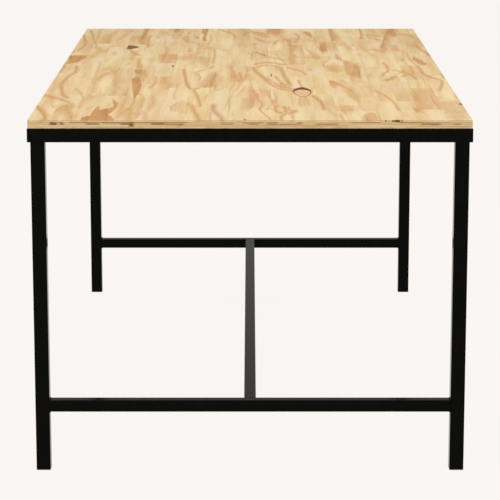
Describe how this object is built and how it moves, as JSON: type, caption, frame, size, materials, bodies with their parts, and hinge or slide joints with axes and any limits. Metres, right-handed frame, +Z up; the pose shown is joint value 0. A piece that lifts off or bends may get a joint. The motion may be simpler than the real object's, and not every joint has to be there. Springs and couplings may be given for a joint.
{
  "type": "butcher block table",
  "caption": "Rectangular table: stave-faced layered wood top on a black steel angle frame, square legs, low end stretchers and one long stretcher.",
  "frame": {"origin": "on the floor under the middle of the tabletop", "axes": "+X to the right across the width, +Y along the length away from the front end, +Z up"},
  "size_m": [0.917, 1.74, 0.75],
  "materials": {
    "pine_staves": "clear oiled pine staves, flat-sawn, with orange heartwood streaks and a few dark knots",
    "pine_plies": "clear oiled pine plies, seen on the edge",
    "black_steel": "satin black powder coat with a faint orange peel",
    "black_plastic": "black moulded plastic, fine matte texture",
    "zinc_screws": "zinc-plated steel"
  },
  "bodies": {
    "root": {"face_stave_row_01": "pine_staves", "face_stave_row_02": "pine_staves", "face_stave_row_03": "pine_staves", "face_stave_row_04": "pine_staves", "face_stave_row_05": "pine_staves", "face_stave_row_06": "pine_staves", "face_stave_row_07": "pine_staves", "face_stave_row_08": "pine_staves", "face_stave_row_09": "pine_staves", "face_stave_row_10": "pine_staves", "face_stave_row_11": "pine_staves", "face_stave_row_12": "pine_staves", "face_stave_row_13": "pine_staves", "face_stave_row_14": "pine_staves", "face_stave_row_15": "pine_staves", "face_stave_row_16": "pine_staves", "face_stave_row_17": "pine_staves", "face_stave_row_18": "pine_staves", "face_stave_row_19": "pine_staves", "face_stave_row_20": "pine_staves", "upper_cross_ply": "pine_plies", "lower_cross_ply": "pine_plies", "back_staves": "pine_staves", "top_rail_front": "black_steel", "top_rail_back": "black_steel", "top_rail_left": "black_steel", "top_rail_right": "black_steel", "leg_front_left": "black_steel", "leg_front_right": "black_steel", "leg_back_left": "black_steel", "leg_back_right": "black_steel", "end_stretcher_front": "black_steel", "end_stretcher_back": "black_steel", "long_stretcher": "black_steel", "leg_welds": "black_steel", "stretcher_welds": "black_steel", "foot_cap_front_left": "black_plastic", "foot_cap_front_right": "black_plastic", "foot_cap_back_left": "black_plastic", "foot_cap_back_right": "black_plastic", "panel_screws": "zinc_screws"}
  },
  "joints": []
}
